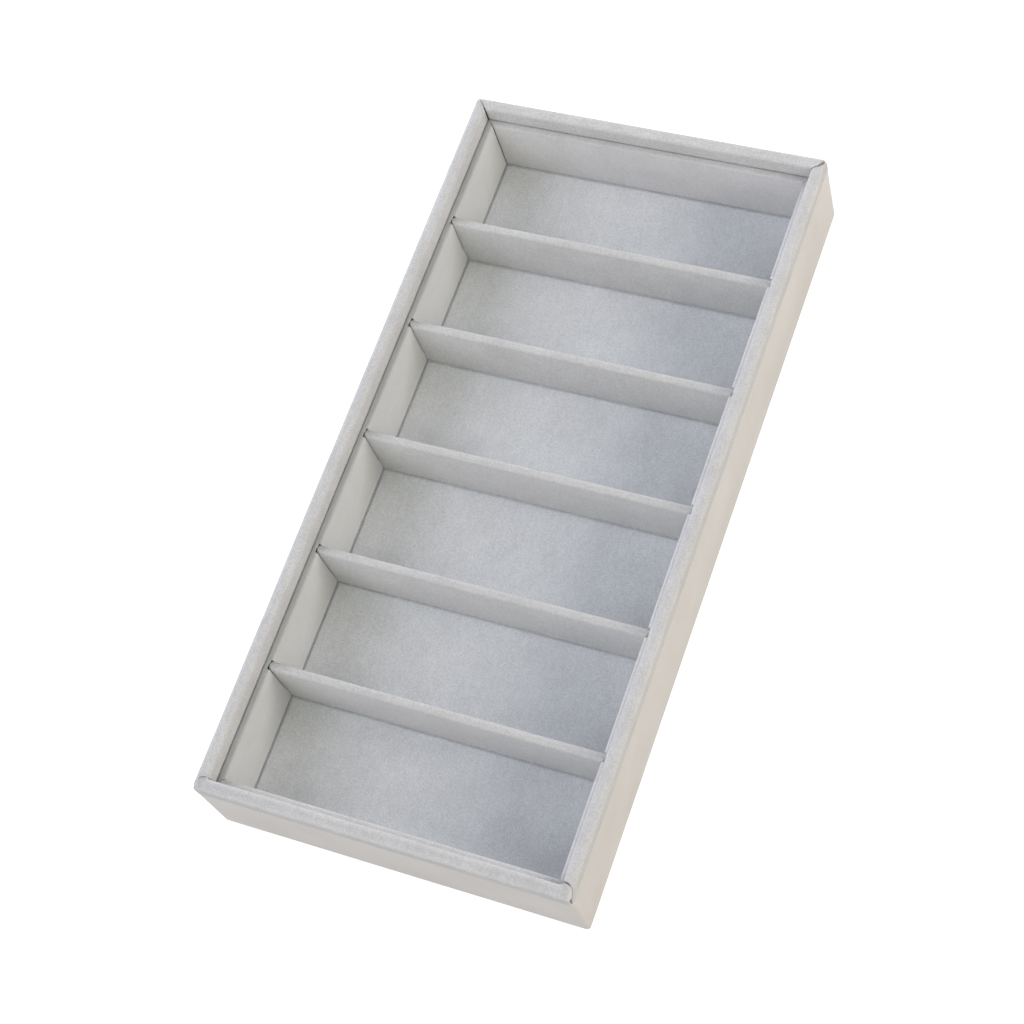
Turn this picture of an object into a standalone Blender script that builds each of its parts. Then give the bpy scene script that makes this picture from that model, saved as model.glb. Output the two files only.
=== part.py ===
"""Glasses organizer tray: a covered board box with six velvet compartments.

Metres, +Z up. The origin lies on the underside, in the middle of the tray. X runs across the
width and Y along the length, with the front at -Y. Walls, liners and the outer cover are
described by two numbers: the inset, counted from the outer face inwards, and the height above
the underside.
"""
import math

import bmesh
import bpy

# Overall size of the tray
TRAY_WIDTH = 0.180
TRAY_LENGTH = 0.372
TRAY_HEIGHT = 0.0478
CORNER_RADIUS = 0.002
INNER_CORNER_RADIUS = 0.0003
CORNER_STEPS = 6
ARC_STEPS = 6

# Boards, cards and cloth, by thickness, and the glue line or clearance between them
WALL_BOARD_THICKNESS = 0.0044
BASE_BOARD_THICKNESS = 0.0022
LINER_CARD_THICKNESS = 0.0016
DIVIDER_CARD_THICKNESS = 0.0024
RIM_VELVET_THICKNESS = 0.0006
LINER_VELVET_THICKNESS = 0.0006
DIVIDER_VELVET_THICKNESS = 0.0006
FLOOR_VELVET_THICKNESS = 0.0008
COVER_THICKNESS = 0.0006
UNDERSIDE_SHEET_THICKNESS = 0.0005
SEAT_GAP = 0.0003
HALF_GAP = SEAT_GAP / 2
CUT_OVERRUN = 0.004
FILLET_LIMIT_SHARE = 0.96

# Velvet rim, folded over the top edge of the walls
RIM_OUTER_RADIUS = 0.0022
RIM_INNER_RADIUS = 0.0018
RIM_OUTER_FLAP = 0.0068
RIM_INNER_FLAP = 0.017
FRONT_LAP_SIDE_INSET = 0.00075
FRONT_LAP_ROUNDING = 0.0036
BACK_LEFT_SEAM_BOW = 0.0009
BACK_RIGHT_SEAM_BOW = -0.0006
BACK_RIGHT_SEAM_WEDGE = 0.0011
SEAM_STEPS = 8

# Outer cover, turned in under the base, and the sheet that hides its hem
COVER_FOOT_RADIUS = 0.0012
COVER_EDGE_RADIUS = 0.00025
COVER_HEM_WIDTH = 0.014
UNDERSIDE_SHEET_INSET = 0.004
UNDERSIDE_SHEET_CORNER_RADIUS = 0.003

# Liner panels inside the walls
LINER_DROP = 0.0084
LINER_TOP_RADIUS = 0.0011
CARD_EDGE_RADIUS = 0.0002
LINER_RETURN = 0.008
LINER_SLOT_SILL = 0.008

# Dividers, placed as shares of the inner length, counted from the back
DIVIDER_PLACE_SHARES = (0.1583, 0.3249, 0.4978, 0.6719, 0.8407)
DIVIDER_SEAT_DEPTH = 0.0012
DIVIDER_DROP = 0.0006
DIVIDER_EASE_LENGTH = 0.002
DIVIDER_EASE_DROP = 0.0026
DIVIDER_EASE_STEPS = 4

# Insets of the wall layers, from the outer face inwards
BOARD_OUTER_INSET = max(RIM_VELVET_THICKNESS, COVER_THICKNESS) + SEAT_GAP
BOARD_INNER_INSET = BOARD_OUTER_INSET + WALL_BOARD_THICKNESS
RIM_INNER_INSET = BOARD_INNER_INSET + SEAT_GAP + RIM_VELVET_THICKNESS
CORE_INSET = BOARD_INNER_INSET + SEAT_GAP
LINER_BACK_INSET = RIM_INNER_INSET + SEAT_GAP
CARD_BACK_INSET = LINER_BACK_INSET + LINER_VELVET_THICKNESS + SEAT_GAP
CARD_FACE_INSET = CARD_BACK_INSET + LINER_CARD_THICKNESS
LINER_FACE_INSET = CARD_FACE_INSET + SEAT_GAP + LINER_VELVET_THICKNESS

# Heights, from the underside up
HEM_BOTTOM = UNDERSIDE_SHEET_THICKNESS + SEAT_GAP
CORE_BOTTOM = HEM_BOTTOM + COVER_THICKNESS + SEAT_GAP
BASE_TOP = CORE_BOTTOM + BASE_BOARD_THICKNESS
FLOOR_BOTTOM = BASE_TOP + SEAT_GAP
FLOOR_TOP = FLOOR_BOTTOM + FLOOR_VELVET_THICKNESS
FOOT_HEIGHT = FLOOR_TOP + SEAT_GAP
LINER_TOP = TRAY_HEIGHT - LINER_DROP
CARD_TOP = LINER_TOP - LINER_VELVET_THICKNESS - SEAT_GAP
DIVIDER_TOP = LINER_TOP - DIVIDER_DROP
RIM_FLAP_BOTTOM = TRAY_HEIGHT - RIM_OUTER_FLAP
COVER_TOP = RIM_FLAP_BOTTOM - SEAT_GAP
BOARD_TOP = TRAY_HEIGHT - RIM_VELVET_THICKNESS - SEAT_GAP
SLOT_SILL = FOOT_HEIGHT + LINER_SLOT_SILL

# Divider thickness and the slot that takes it
DIVIDER_THICKNESS = DIVIDER_CARD_THICKNESS + 2 * (DIVIDER_VELVET_THICKNESS + SEAT_GAP)
SLOT_WIDTH = DIVIDER_THICKNESS + 2 * SEAT_GAP
DIVIDER_END_INSET = LINER_FACE_INSET - DIVIDER_SEAT_DEPTH

HALF_WIDTH = TRAY_WIDTH / 2
HALF_LENGTH = TRAY_LENGTH / 2
INNER_LENGTH = TRAY_LENGTH - 2 * LINER_FACE_INSET

# Colours as linear RGB, with a roughness for each stuff
VELVET_GREY = (0.52, 0.53, 0.56)
LINER_GREY = (0.50, 0.49, 0.47)
LEATHERETTE_CREAM = (0.62, 0.58, 0.53)
GREYBOARD = (0.30, 0.28, 0.25)
PAPER_GREY = (0.42, 0.41, 0.39)
VELVET_ROUGHNESS = 0.95
LEATHERETTE_ROUGHNESS = 0.55
BOARD_ROUGHNESS = 0.9


def finish(name, colour, roughness):
    """Give a piece its own matte, non-metal material."""
    material = bpy.data.materials.new(name + "_finish")
    material.use_nodes = True
    shader = material.node_tree.nodes["Principled BSDF"]
    shader.inputs["Base Color"].default_value = (*colour, 1)
    shader.inputs["Roughness"].default_value = roughness
    shader.inputs["Metallic"].default_value = 0
    return material


def arc(centre, radius, start, end, steps=ARC_STEPS):
    """Points on an arc, with its angles in degrees."""
    points = []
    for i in range(steps + 1):
        angle = math.radians(start + (end - start) * i / steps)
        points.append((centre[0] + radius * math.cos(angle), centre[1] + radius * math.sin(angle)))
    return points


def eased(radius, wall):
    """A fillet on each edge of a wall stays inside it."""
    return min(radius, FILLET_LIMIT_SHARE * wall / 2)


def plan_outline(inset, radius):
    """The tray's outline seen from above at an inset, with round corners, anticlockwise."""
    x = HALF_WIDTH - inset - radius
    y = HALF_LENGTH - inset - radius
    corners = ((x, -y, -90), (x, y, 0), (-x, y, 90), (-x, -y, 180))
    points = []
    for corner_x, corner_y, start in corners:
        points += arc((corner_x, corner_y), radius, start, start + 90, CORNER_STEPS)
    return points


def corner_radius(inset):
    """Corners stay concentric until they would turn sharp."""
    return max(CORNER_RADIUS - inset, INNER_CORNER_RADIUS)


def closed_mesh(name, bm):
    """Finish a bmesh as a mesh with its faces pointing out."""
    bmesh.ops.recalc_face_normals(bm, faces=bm.faces[:])
    mesh = bpy.data.meshes.new(name)
    bm.to_mesh(mesh)
    bm.free()
    mesh.shade_smooth()
    mesh.set_sharp_from_angle(angle=math.radians(35))
    return mesh


def ring_mesh(name, section):
    """Sweep a closed section of (inset, height) points once round the tray."""
    bm = bmesh.new()
    loops = []
    for inset, height in section:
        outline = plan_outline(inset, corner_radius(inset))
        loops.append([bm.verts.new((x, y, height)) for x, y in outline])
    for near, far in zip(loops, loops[1:] + loops[:1]):
        for i in range(len(near)):
            j = (i + 1) % len(near)
            bm.faces.new((near[i], near[j], far[j], far[i]))
    return closed_mesh(name, bm)


def prism_mesh(name, outline, low, high):
    """Extrude an outline in plan from one height to another."""
    bm = bmesh.new()
    face = bm.faces.new([bm.verts.new((x, y, low)) for x, y in outline])
    grown = bmesh.ops.extrude_face_region(bm, geom=[face])["geom"]
    moved = [item for item in grown if isinstance(item, bmesh.types.BMVert)]
    bmesh.ops.translate(bm, verts=moved, vec=(0, 0, high - low))
    return closed_mesh(name, bm)


def boxes_mesh(name, boxes):
    """One mesh of separate boxes, each given by its lowest and highest corner."""
    bm = bmesh.new()
    for low, high in boxes:
        verts = bmesh.ops.create_cube(bm, size=1)["verts"]
        size = [h - l for l, h in zip(low, high)]
        middle = [(l + h) / 2 for l, h in zip(low, high)]
        bmesh.ops.scale(bm, verts=verts, vec=size)
        bmesh.ops.translate(bm, verts=verts, vec=middle)
    return closed_mesh(name, bm)


def add_object(name, mesh):
    item = bpy.data.objects.new(name, mesh)
    bpy.context.collection.objects.link(item)
    return item


def add_cutter(name, mesh):
    """A cutter or a guide is kept in the file but never rendered."""
    cutter = add_object(name, mesh)
    cutter.hide_render = True
    cutter.display_type = "WIRE"
    return cutter


def add_piece(name, mesh, colour, roughness, keep=None, cuts=()):
    """A named piece, kept inside one region and cut by others."""
    piece = add_object(name, mesh)
    mesh.materials.append(finish(name, colour, roughness))
    tools = [(keep, "INTERSECT")] if keep else []
    tools += [(cutter, "DIFFERENCE") for cutter in cuts]
    for cutter, operation in tools:
        step = piece.modifiers.new(cutter.name, "BOOLEAN")
        step.operation = operation
        step.solver = "EXACT"
        step.object = cutter
    return piece


# Sections of what runs round the tray, as (inset, height)
def folded_section(outer, inner, top, outer_foot, inner_foot, thickness, outer_radius, inner_radius):
    """Cloth folded over an edge: an inverted U with rounded shoulders."""
    outer_radius = eased(outer_radius, inner - outer)
    inner_radius = eased(inner_radius, inner - outer)
    over_outer = (outer + outer_radius, top - outer_radius)
    over_inner = (inner - inner_radius, top - inner_radius)
    under_outer_radius = outer_radius - thickness
    under_inner_radius = inner_radius - thickness
    points = [(outer, outer_foot)]
    points += arc(over_outer, outer_radius, 180, 90)
    points += arc(over_inner, inner_radius, 90, 0)
    points += [(inner, inner_foot), (inner - thickness, inner_foot)]
    points += arc(over_inner, under_inner_radius, 0, 90)
    points += arc(over_outer, under_outer_radius, 90, 180)
    points += [(outer + thickness, outer_foot)]
    return points


def board_section(outer, inner, bottom, top, radii):
    """A board with three eased edges: outer top, inner top and outer foot."""
    outer_top, inner_top, outer_foot = [eased(radius, inner - outer) for radius in radii]
    points = [(inner, bottom)]
    points += arc((outer + outer_foot, bottom + outer_foot), outer_foot, 270, 180)
    points += arc((outer + outer_top, top - outer_top), outer_top, 180, 90)
    points += arc((inner - inner_top, top - inner_top), inner_top, 90, 0)
    return points


def cover_section():
    """The outer cover: up the wall from its hem, with a turned upper edge."""
    edge = eased(COVER_EDGE_RADIUS, COVER_THICKNESS)
    foot_centre = (COVER_FOOT_RADIUS, HEM_BOTTOM + COVER_FOOT_RADIUS)
    points = [(COVER_HEM_WIDTH, HEM_BOTTOM)]
    points += arc(foot_centre, COVER_FOOT_RADIUS, 270, 180)
    points += arc((edge, COVER_TOP - edge), edge, 180, 90)
    points += [(COVER_THICKNESS, COVER_TOP)]
    points += arc(foot_centre, COVER_FOOT_RADIUS - COVER_THICKNESS, 180, 270)
    points += [(COVER_HEM_WIDTH, HEM_BOTTOM + COVER_THICKNESS)]
    return points


# Seams of the rim, seen from above, as (inset from the side, inset from the end)
def front_seam(shift):
    """The front strip laps over both front corners, with a rounded shoulder."""
    side = FRONT_LAP_SIDE_INSET - shift
    end = RIM_INNER_INSET + HALF_GAP + shift
    rounding = FRONT_LAP_ROUNDING + shift
    shoulder = (side + rounding, end - rounding)
    points = [(side, -CUT_OVERRUN)]
    points += arc(shoulder, rounding, 180, 90, SEAM_STEPS)
    points += [(RIM_INNER_INSET + CUT_OVERRUN, end)]
    return points


def mitre_seam(depth, bow=0, gap_out=0, gap_in=0):
    """A diagonal seam that bows a little and may open towards the outer corner."""
    points = []
    reach = depth + CUT_OVERRUN
    share_out = -CUT_OVERRUN / depth
    share_in = reach / depth
    shares = [share_out] + [i / SEAM_STEPS for i in range(SEAM_STEPS + 1)] + [share_in]
    for share in shares:
        inside = min(max(share, 0), 1)
        swing = bow * math.sin(math.pi * inside) + gap_out * (1 - inside) + gap_in * inside
        offset = swing / math.sqrt(2)
        points.append((depth * share + offset, depth * share - offset))
    return points


def corner_points(points, side_x, side_y):
    """Turn insets at one corner into places in plan."""
    return [(side_x * (HALF_WIDTH - u), side_y * (HALF_LENGTH - v)) for u, v in points]


def region(name, outline):
    return add_cutter(name, prism_mesh(name, outline, -CUT_OVERRUN, TRAY_HEIGHT + CUT_OVERRUN))


def end_region(name, side_y, left_seam, right_seam):
    """All that lies between two corner seams at one end."""
    left = corner_points(left_seam, -1, side_y)
    right = corner_points(right_seam, 1, side_y)
    return region(name, left + right[::-1])


def side_region(name, side_x, front_points, back_points):
    """All that lies outside two corner seams along one side."""
    front = corner_points(front_points, side_x, -1)
    back = corner_points(back_points, side_x, 1)
    beyond = side_x * (HALF_WIDTH + 2 * CUT_OVERRUN)
    outline = [(beyond, front[0][1])] + front + back[::-1] + [(beyond, back[0][1])]
    return region(name, outline)


# Start from an empty scene
for old in list(bpy.data.objects):
    bpy.data.objects.remove(old, do_unlink=True)

# Wall boards: front and back run the full width, the sides stand between them
board_ring = board_section(
    BOARD_OUTER_INSET, BOARD_INNER_INSET, CORE_BOTTOM, BOARD_TOP,
    (
        max(RIM_OUTER_RADIUS - BOARD_OUTER_INSET, INNER_CORNER_RADIUS),
        max(RIM_INNER_RADIUS - SEAT_GAP - RIM_VELVET_THICKNESS, INNER_CORNER_RADIUS),
        max(COVER_FOOT_RADIUS - BOARD_OUTER_INSET, INNER_CORNER_RADIUS),
    ),
)
end_cut = BOARD_INNER_INSET + HALF_GAP
side_cut = BOARD_INNER_INSET + 3 * HALF_GAP
for label, sign in (("front", -1), ("back", 1)):
    butt = [(-CUT_OVERRUN, end_cut)]
    keep = end_region(
        label + "_board_region", sign,
        [(-CUT_OVERRUN, -CUT_OVERRUN)] + butt, [(-CUT_OVERRUN, -CUT_OVERRUN)] + butt,
    )
    mesh = ring_mesh(label + "_wall_board", board_ring)
    add_piece(label + "_wall_board", mesh, GREYBOARD, BOARD_ROUGHNESS, keep)
for label, sign in (("left", -1), ("right", 1)):
    butt = [(-CUT_OVERRUN, side_cut), (BOARD_INNER_INSET + CUT_OVERRUN, side_cut)]
    keep = side_region(label + "_board_region", sign, butt, butt)
    mesh = ring_mesh(label + "_wall_board", board_ring)
    add_piece(label + "_wall_board", mesh, GREYBOARD, BOARD_ROUGHNESS, keep)

# Base board, let in between the walls, with the floor velvet on it
core_outline = plan_outline(CORE_INSET, INNER_CORNER_RADIUS)
base_mesh = prism_mesh("base_board", core_outline, CORE_BOTTOM, BASE_TOP)
add_piece("base_board", base_mesh, GREYBOARD, BOARD_ROUGHNESS)
floor_mesh = prism_mesh("floor_velvet", core_outline, FLOOR_BOTTOM, FLOOR_TOP)
add_piece("floor_velvet", floor_mesh, VELVET_GREY, VELVET_ROUGHNESS)

# Outer cover in one strip round the box, and the sheet under it
cover_mesh = ring_mesh("outer_cover", cover_section())
add_piece("outer_cover", cover_mesh, LEATHERETTE_CREAM, LEATHERETTE_ROUGHNESS)
sheet_outline = plan_outline(UNDERSIDE_SHEET_INSET, UNDERSIDE_SHEET_CORNER_RADIUS)
sheet_mesh = prism_mesh("underside_sheet", sheet_outline, 0, UNDERSIDE_SHEET_THICKNESS)
add_piece("underside_sheet", sheet_mesh, PAPER_GREY, BOARD_ROUGHNESS)

# Rim velvet: a lapped front strip, and side and back strips with mitred ends
rim_section = folded_section(
    0, RIM_INNER_INSET, TRAY_HEIGHT, RIM_FLAP_BOTTOM, TRAY_HEIGHT - RIM_INNER_FLAP,
    RIM_VELVET_THICKNESS, RIM_OUTER_RADIUS, RIM_INNER_RADIUS,
)
wedge = BACK_RIGHT_SEAM_WEDGE
back_left = (RIM_INNER_INSET, BACK_LEFT_SEAM_BOW)
back_right = (RIM_INNER_INSET, BACK_RIGHT_SEAM_BOW)
rim_regions = {
    "front": end_region("front_rim_region", -1, front_seam(0), front_seam(0)),
    "back": end_region(
        "back_rim_region", 1,
        mitre_seam(*back_left, HALF_GAP, HALF_GAP),
        mitre_seam(*back_right, HALF_GAP, HALF_GAP),
    ),
    "left": side_region(
        "left_rim_region", -1, front_seam(SEAT_GAP),
        mitre_seam(*back_left, -HALF_GAP, -HALF_GAP),
    ),
    "right": side_region(
        "right_rim_region", 1, front_seam(SEAT_GAP),
        mitre_seam(*back_right, -HALF_GAP - wedge, -HALF_GAP),
    ),
}
for label, keep in rim_regions.items():
    mesh = ring_mesh(label + "_rim_velvet", rim_section)
    add_piece(label + "_rim_velvet", mesh, VELVET_GREY, VELVET_ROUGHNESS, keep)

# Dividers: a card in a velvet sleeve, with its lower ends cut back above the slot sill
divider_half_length = HALF_WIDTH - DIVIDER_END_INSET
step_inset = LINER_FACE_INSET + SEAT_GAP
step_reach = HALF_WIDTH - step_inset
step_top = SLOT_SILL + SEAT_GAP
divider_places = [
    HALF_LENGTH - LINER_FACE_INSET - share * INNER_LENGTH for share in DIVIDER_PLACE_SHARES
]


def divider_mesh(name, place, layer, foot):
    """A round-topped divider, eased down at both ends, less a layer all round its face."""
    half = DIVIDER_THICKNESS / 2 - layer
    length = DIVIDER_EASE_LENGTH - layer
    drop = DIVIDER_EASE_DROP - layer
    stations = []
    for i in range(DIVIDER_EASE_STEPS + 1):
        angle = math.radians(90 * i / DIVIDER_EASE_STEPS)
        across = divider_half_length - layer - length * (1 - math.cos(angle))
        stations.append((across, DIVIDER_TOP - layer - drop * (1 - math.sin(angle))))
    bm = bmesh.new()
    loops = []
    for across, top in [(-x, z) for x, z in stations] + stations[::-1]:
        outline = [(place + half, foot)]
        outline += arc((place, top - half), half, 0, 180, 2 * ARC_STEPS)
        outline += [(place - half, foot)]
        loops.append([bm.verts.new((across, y, z)) for y, z in outline])
    for near, far in zip(loops, loops[1:]):
        for i in range(len(near)):
            j = (i + 1) % len(near)
            bm.faces.new((near[i], near[j], far[j], far[i]))
    bm.faces.new(loops[0])
    bm.faces.new(loops[-1])
    return closed_mesh(name, bm)


step_boxes = []
slot_boxes = {-1: [], 1: []}
for place in divider_places:
    for side in (-1, 1):
        across = sorted((side * step_reach, side * (HALF_WIDTH + CUT_OVERRUN)))
        low = (across[0], place - DIVIDER_THICKNESS, -CUT_OVERRUN)
        high = (across[1], place + DIVIDER_THICKNESS, step_top)
        step_boxes.append((low, high))
        slot_end = HALF_WIDTH - CARD_BACK_INSET + HALF_GAP
        across = sorted((side * slot_end, side * (step_reach - CUT_OVERRUN)))
        low = (across[0], place - SLOT_WIDTH / 2, SLOT_SILL)
        high = (across[1], place + SLOT_WIDTH / 2, TRAY_HEIGHT)
        slot_boxes[side].append((low, high))
step_cutter = add_cutter("divider_step_cutter", boxes_mesh("divider_step_cutter", step_boxes))

for number, place in enumerate(divider_places, start=1):
    name = "divider_card_" + str(number)
    mesh = divider_mesh(name, place, DIVIDER_VELVET_THICKNESS + SEAT_GAP, FOOT_HEIGHT)
    add_piece(name, mesh, GREYBOARD, BOARD_ROUGHNESS, cuts=[step_cutter])
    name = "sleeve_cavity_" + str(number)
    mesh = divider_mesh(name, place, DIVIDER_VELVET_THICKNESS, FOOT_HEIGHT - CUT_OVERRUN)
    cavity = add_cutter(name, mesh)
    name = "divider_velvet_" + str(number)
    mesh = divider_mesh(name, place, 0, FOOT_HEIGHT)
    add_piece(name, mesh, VELVET_GREY, VELVET_ROUGHNESS, cuts=[step_cutter, cavity])

# Liner panels: a card in velvet on each wall, mitred in the corners, slotted for the dividers
liner_section = folded_section(
    LINER_BACK_INSET, LINER_FACE_INSET, LINER_TOP, LINER_TOP - LINER_RETURN, FOOT_HEIGHT,
    LINER_VELVET_THICKNESS, LINER_TOP_RADIUS, LINER_TOP_RADIUS,
)
card_section = board_section(
    CARD_BACK_INSET, CARD_FACE_INSET, FOOT_HEIGHT, CARD_TOP, 3 * (CARD_EDGE_RADIUS,)
)
near_seam = mitre_seam(LINER_FACE_INSET, 0, HALF_GAP, HALF_GAP)
far_seam = mitre_seam(LINER_FACE_INSET, 0, -HALF_GAP, -HALF_GAP)
liner_regions = {
    "front": end_region("front_liner_region", -1, near_seam, near_seam),
    "back": end_region("back_liner_region", 1, near_seam, near_seam),
    "left": side_region("left_liner_region", -1, far_seam, far_seam),
    "right": side_region("right_liner_region", 1, far_seam, far_seam),
}
liner_cuts = {"front": [], "back": []}
for label, side in (("left", -1), ("right", 1)):
    name = label + "_slot_cutter"
    liner_cuts[label] = [add_cutter(name, boxes_mesh(name, slot_boxes[side]))]
for label, keep in liner_regions.items():
    cuts = liner_cuts[label]
    mesh = ring_mesh(label + "_liner_card", card_section)
    add_piece(label + "_liner_card", mesh, GREYBOARD, BOARD_ROUGHNESS, keep, cuts)
    mesh = ring_mesh(label + "_liner_velvet", liner_section)
    add_piece(label + "_liner_velvet", mesh, LINER_GREY, VELVET_ROUGHNESS, keep, cuts)
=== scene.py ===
# %% [markdown]
# # A glasses tray in flocked velvet
# The tray is a box of greyboard. A coated leatherette strip wraps its outside, and velvet covers
# all that a pair of glasses could touch. The boards are packed as a fixed frame, so this lesson
# dresses them: it makes each cloth at its real thickness, then its finish, then light and camera.
# The first cell loads the frame and bakes each part's place into its mesh.

# %% Load the frame
import math
from functools import partial

import bpy
import numpy as np
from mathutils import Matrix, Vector, noise


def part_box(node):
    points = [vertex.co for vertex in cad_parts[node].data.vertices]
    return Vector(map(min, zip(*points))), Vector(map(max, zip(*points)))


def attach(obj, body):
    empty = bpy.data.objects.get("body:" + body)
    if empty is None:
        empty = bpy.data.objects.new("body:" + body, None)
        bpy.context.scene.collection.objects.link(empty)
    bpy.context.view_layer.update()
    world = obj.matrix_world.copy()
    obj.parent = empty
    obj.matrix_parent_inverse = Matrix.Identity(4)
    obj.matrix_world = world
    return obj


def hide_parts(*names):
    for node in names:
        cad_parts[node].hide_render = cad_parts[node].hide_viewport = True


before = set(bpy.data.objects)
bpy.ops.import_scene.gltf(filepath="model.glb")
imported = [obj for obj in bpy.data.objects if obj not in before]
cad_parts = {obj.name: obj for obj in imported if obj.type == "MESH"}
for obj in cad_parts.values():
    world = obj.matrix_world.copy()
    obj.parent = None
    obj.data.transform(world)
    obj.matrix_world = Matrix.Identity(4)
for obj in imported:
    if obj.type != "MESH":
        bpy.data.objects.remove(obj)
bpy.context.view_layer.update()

# %% [markdown]
# ## Sizes
# Nothing here is fitted by eye where the frame already knows it. Each cloth takes its place from
# the box of the node that it stands for. Only what a box can't tell, such as how far a fold
# comes down or how round a shoulder is, gets a value of its own, in metres.

# %% Read the sizes
MM = 0.001
cover_low, cover_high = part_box("outer_cover")
rim_low, rim_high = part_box("left_rim_velvet")
liner_low, liner_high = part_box("left_liner_velvet")
floor_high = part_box("floor_velvet")[1]

HALF_WIDTH = cover_high.x
HALF_LENGTH = cover_high.y
RIM_TOP = rim_high.z
RIM_FOOT = rim_low.z
RIM_DEPTH = HALF_WIDTH + rim_high.x
LINER_BACK = HALF_WIDTH + liner_low.x
LINER_FACE = HALF_WIDTH + liner_high.x
LINER_TOP = liner_high.z
LINER_FOOT = liner_low.z
FLOOR_TOP = floor_high.z
CORNER_RADIUS = 2.0 * MM
CLOTH = 0.6 * MM
print(f"tray {2 * HALF_WIDTH:.3f} x {2 * HALF_LENGTH:.3f} x {RIM_TOP:.3f} m")
print(f"rim {RIM_DEPTH / MM:.1f} mm wide")
print(f"liner face {LINER_FACE / MM:.1f} mm in, top {LINER_TOP / MM:.1f} mm up")

# %% [markdown]
# ## Colour
# A maker picks cloth from a swatch, so colours are written as the hex values that a swatch has on
# a screen. The shader wants linear light, so one function turns a hex value into it.

# %% From hex to linear


def linear(code):
    """An sRGB hex colour as linear red, green, blue and alpha."""
    shares = [int(code[i:i + 2], 16) / 255 for i in (1, 3, 5)]
    return (*[c / 12.92 if c <= 0.04045 else ((c + 0.055) / 1.055) ** 2.4 for c in shares], 1.0)


print("mid grey", [round(c, 3) for c in linear("#808080")])

# %% [markdown]
# ## Nodes
# A material is a small graph. One function adds any node, sets what it is told to, and links the
# outputs that it is handed, so that a material below reads from top to bottom like a recipe.

# %% Add a node


def add(material, kind, inputs=(), **settings):
    """Add a node with its settings. An input takes a value, or another node's output as a link."""
    tree = material.node_tree
    node = tree.nodes.new("ShaderNode" + kind)
    for name, value in settings.items():
        setattr(node, name, value)
    for name, value in dict(inputs).items():
        if isinstance(value, bpy.types.NodeSocket):
            tree.links.new(value, node.inputs[name])
        else:
            node.inputs[name].default_value = value
    return node


def start_material(name):
    """An empty material with its output and the place on the object, in metres."""
    material = bpy.data.materials.new(name)
    material.use_nodes = True
    material.node_tree.nodes.clear()
    return material, add(material, "TexCoord").outputs["Object"]


# %% [markdown]
# ## Noise and colour
# Cloth, coat and paper all need the same three moves: a cloudy noise whose spots have a real size,
# a stretch of its middle to a whole range, because noise seldom leaves its middle, and a mix of two
# colours by the result. In a Mix node of colours, socket 0 is the share, 6 and 7 are the colours.
# The nodes are added one by one below. Here are only the inputs that would be written out often.

# %% Inputs for noise and ranges
MIDDLE = (0.3, 0.7)


def spots(place, size, detail=2.0, roughness=0.6):
    """Inputs for cloudy noise with spots of a size in metres."""
    return {"Vector": place, "Scale": 1 / size, "Detail": detail, "Roughness": roughness}


def stretched(value, low, high, to_low=0.0, to_high=1.0):
    """Inputs that stretch one range of a value over another."""
    return {"Value": value, "From Min": low, "From Max": high, "To Min": to_low, "To Max": to_high}


print("a noise's inputs:", list(spots(None, MM)))


# %% [markdown]
# ## Closing a material
# Every finish ends alike. Its finest pattern gives a bump of a real depth, one shader takes the
# colour and the roughness, and what is the same all over the surface is set on the shader itself.

# %% Bump, shader and output


def close_material(material, colour, roughness, height, depth, strength, **shader):
    """Bump from a height, the surface shader with its fixed values, and the output."""
    bump = add(material, "Bump", {"Height": height, "Distance": depth, "Strength": strength})
    inputs = {"Base Color": colour, "Roughness": roughness, "Normal": bump.outputs["Normal"]}
    surface = add(material, "BsdfPrincipled", inputs)
    for name, value in shader.items():
        surface.inputs[name.replace("_", " ")].default_value = value
    add(material, "OutputMaterial", {"Surface": surface.outputs["BSDF"]})
    return material


# %% [markdown]
# ## Flocked velvet
# The cloth is polyester microfibre with a cut pile about 0.3 mm high, flocked on a backing. Pile
# swallows light where we look into it and glows where we look across it. That is why rounded
# edges of velvet shine. The shader's sheen does this. Real pile stands every 0.1 mm, too fine to
# show, so the tufts are drawn at 0.75 mm, the size of the grain that the eye sees in a photo.
# Broad soft patches stand for places where a hand has brushed the nap the other way, and short
# streaks for combed pile. Near a top edge the colour can also be multiplied by a darker shade:
# this is painted shade, which makes the tops of strips darker than the faces below them.

# %% Velvet
TUFT = 0.75 * MM
BRUSHED_PATCH = 17 * MM
COMBED_STREAK = 2.4 * MM
STREAK_STRETCH = (1.0, 0.35, 0.6)
PILE_HEIGHT = 0.16 * MM
TUFT_MIDDLE = (0.32, 0.68)
TUFT_SHARE = 0.42
PATCH_SHARE = 0.13
STREAK_SHARE = 0.09
PILE_ROUGHNESS = (1.0, 0.82)
# How far below a fold's height the painted shade on a top edge begins, and where it is full.
PAINTED_SHADE_STARTS = 0.9 * MM
PAINTED_SHADE_IS_FULL = 0.2 * MM


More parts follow.
